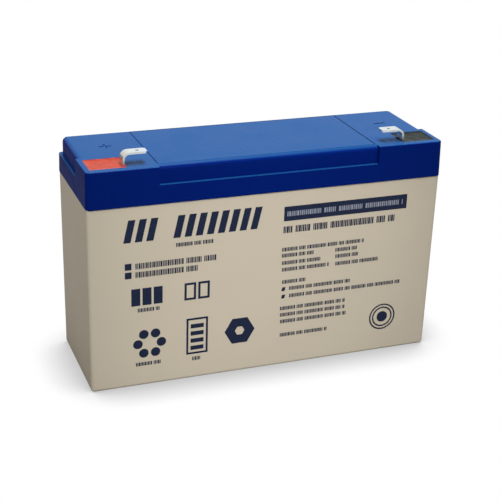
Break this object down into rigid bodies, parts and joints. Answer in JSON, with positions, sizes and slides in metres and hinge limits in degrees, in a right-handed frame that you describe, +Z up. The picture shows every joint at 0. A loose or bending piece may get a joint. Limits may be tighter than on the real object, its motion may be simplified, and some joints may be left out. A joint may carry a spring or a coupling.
{
  "type": "sealed lead acid battery",
  "caption": "Sealed lead acid battery with a pale drafted case, a stepped blue lid and two push-on tabs standing in red and black resin at the ends of one long edge.",
  "frame": {"origin": "on the floor, under the middle of the case", "axes": "+X along the length, from the positive towards the negative terminal; +Z up; the long face nearest the terminals looks along -Y"},
  "size_m": [0.151, 0.05, 0.099],
  "materials": {
    "container_plastic": "moulded ABS, fine satin grain, warm grey beige",
    "lid_plastic": "moulded ABS, satin gloss, deep blue",
    "tinned_brass": "tin plated brass strip, bright with faint rolling lines",
    "red_resin": "poured epoxy resin, orange red",
    "black_resin": "poured epoxy resin, black",
    "lead": "cast lead and grey negative plates",
    "positive_paste": "brown pasted positive plates",
    "glass_mat": "white glass fibre mat",
    "valve_rubber": "black moulded rubber",
    "seal_epoxy": "dark joint resin"
  },
  "bodies": {
    "root": {"container": "container_plastic", "lid": "lid_plastic", "cover_plate": "lid_plastic", "seal_bead": "seal_epoxy", "resin_pad_positive": "red_resin", "resin_pad_negative": "black_resin", "terminal_tab_positive": "tinned_brass", "terminal_tab_negative": "tinned_brass", "terminal_post_positive": "lead", "terminal_post_negative": "lead", "cell_link_1": "lead", "cell_link_2": "lead", "valve_cap_1": "valve_rubber", "valve_cap_2": "valve_rubber", "valve_cap_3": "valve_rubber", "positive_plates_1": "positive_paste", "positive_plates_2": "positive_paste", "positive_plates_3": "positive_paste", "negative_plates_1": "lead", "negative_plates_2": "lead", "negative_plates_3": "lead", "separator_1_1": "glass_mat", "separator_1_2": "glass_mat", "separator_1_3": "glass_mat", "separator_1_4": "glass_mat", "separator_2_1": "glass_mat", "separator_2_2": "glass_mat", "separator_2_3": "glass_mat", "separator_2_4": "glass_mat", "separator_3_1": "glass_mat", "separator_3_2": "glass_mat", "separator_3_3": "glass_mat", "separator_3_4": "glass_mat"}
  },
  "joints": []
}
